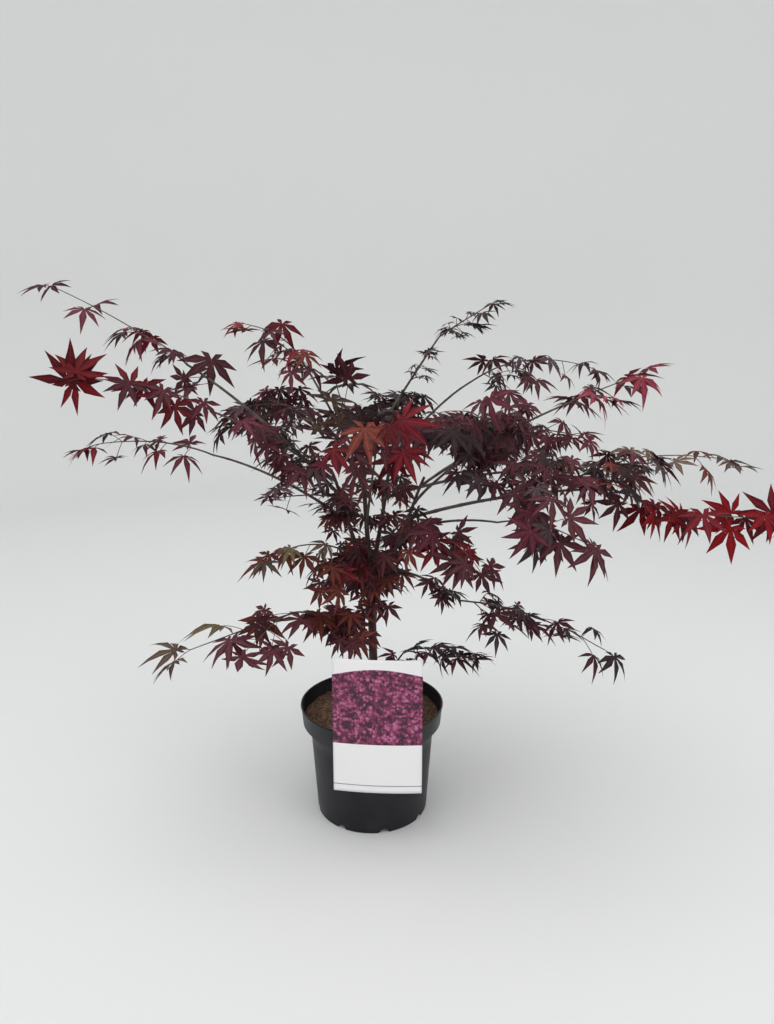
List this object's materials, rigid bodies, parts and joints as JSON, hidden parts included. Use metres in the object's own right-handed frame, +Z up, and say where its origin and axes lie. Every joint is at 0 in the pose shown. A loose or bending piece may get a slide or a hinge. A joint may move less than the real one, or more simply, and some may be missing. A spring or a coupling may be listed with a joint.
{
  "type": "potted japanese maple",
  "caption": "Young Japanese maple with long arching boughs and star-shaped dark red leaves, in a round black nursery pot with a hanging card.",
  "frame": {"origin": "centre of the pot's flat underside, where it stands", "axes": "+Z up, +X to the right and +Y away for someone who faces the card on the pot"},
  "size_m": [0.9378, 0.4325, 0.6999],
  "materials": {
    "pot": "moulded polypropylene, near black with a blue cast, satin",
    "compost": "moist peat and bark compost, rough and matte",
    "card": "printed plastic card, white with a magenta leafy panel, soft gloss",
    "bark": "smooth young bark, brown-maroon with pale pores, matte",
    "shoot": "one- and two-year shoots, grey-green to dark maroon, satin",
    "leaf_dusk": "near-black purple leaves, thin, soft sheen",
    "leaf_maroon": "dark maroon leaves, thin, soft sheen",
    "leaf_wine": "wine-red leaves, thin, soft sheen",
    "leaf_russet": "red-brown leaves, thin, soft sheen",
    "leaf_crimson": "crimson leaves, thin, soft sheen",
    "leaf_scarlet": "scarlet leaves at the shoot ends, thin, soft sheen",
    "leaf_bronze": "olive-brown leaves, thin, soft sheen",
    "leaf_olive": "olive-yellow leaves turning red-brown, thin, soft sheen"
  },
  "bodies": {
    "root": {"pot": "pot", "soil": "compost", "label": "card", "trunk": "bark", "leader_left": "bark", "leader_right": "bark", "leader_back": "bark", "bough_left_long": "shoot", "bough_left_mid": "shoot", "bough_left_low": "shoot", "bough_left_high": "shoot", "bough_right_shoot": "shoot", "bough_right_high": "shoot", "bough_right_rise": "shoot", "bough_right_core": "shoot", "bough_right_far": "shoot", "bough_right_long": "shoot", "bough_right_hang": "shoot", "bough_mid_hang": "shoot", "bough_low_right": "shoot", "bough_low_arch": "shoot", "bough_low_left": "shoot", "bough_mid_left": "shoot", "bough_core_front": "shoot", "bough_back_left": "shoot", "bough_back_right": "shoot", "bough_back_low": "shoot", "foliage_left_upper": "leaf_wine", "foliage_left_tip": "leaf_wine", "foliage_left_inner": "leaf_maroon", "foliage_left_fan": "leaf_scarlet", "foliage_left_low": "leaf_maroon", "foliage_left_high": "leaf_wine", "foliage_crown_top": "leaf_bronze", "foliage_core_left": "leaf_maroon", "foliage_core_low": "leaf_maroon", "foliage_core_front": "leaf_russet", "foliage_right_shoot": "leaf_dusk", "foliage_right_high": "leaf_dusk", "foliage_right_wine": "leaf_wine", "foliage_right_rise": "leaf_crimson", "foliage_right_core_front": "leaf_maroon", "foliage_right_core_low": "leaf_maroon", "foliage_right_mid": "leaf_russet", "foliage_right_far": "leaf_bronze", "foliage_scarlet_inner": "leaf_crimson", "foliage_scarlet_outer": "leaf_scarlet", "foliage_right_hang": "leaf_wine", "foliage_mid_hang": "leaf_wine", "foliage_low_right": "leaf_dusk", "foliage_low_arch": "leaf_dusk", "foliage_low_left": "leaf_wine", "foliage_low_left_tip": "leaf_maroon", "foliage_mid_left": "leaf_olive", "foliage_trunk_left": "leaf_russet", "foliage_trunk_low": "leaf_russet", "foliage_back_left": "leaf_maroon", "foliage_back_middle": "leaf_dusk", "foliage_back_right": "leaf_maroon", "foliage_back_low": "leaf_wine"}
  },
  "joints": []
}
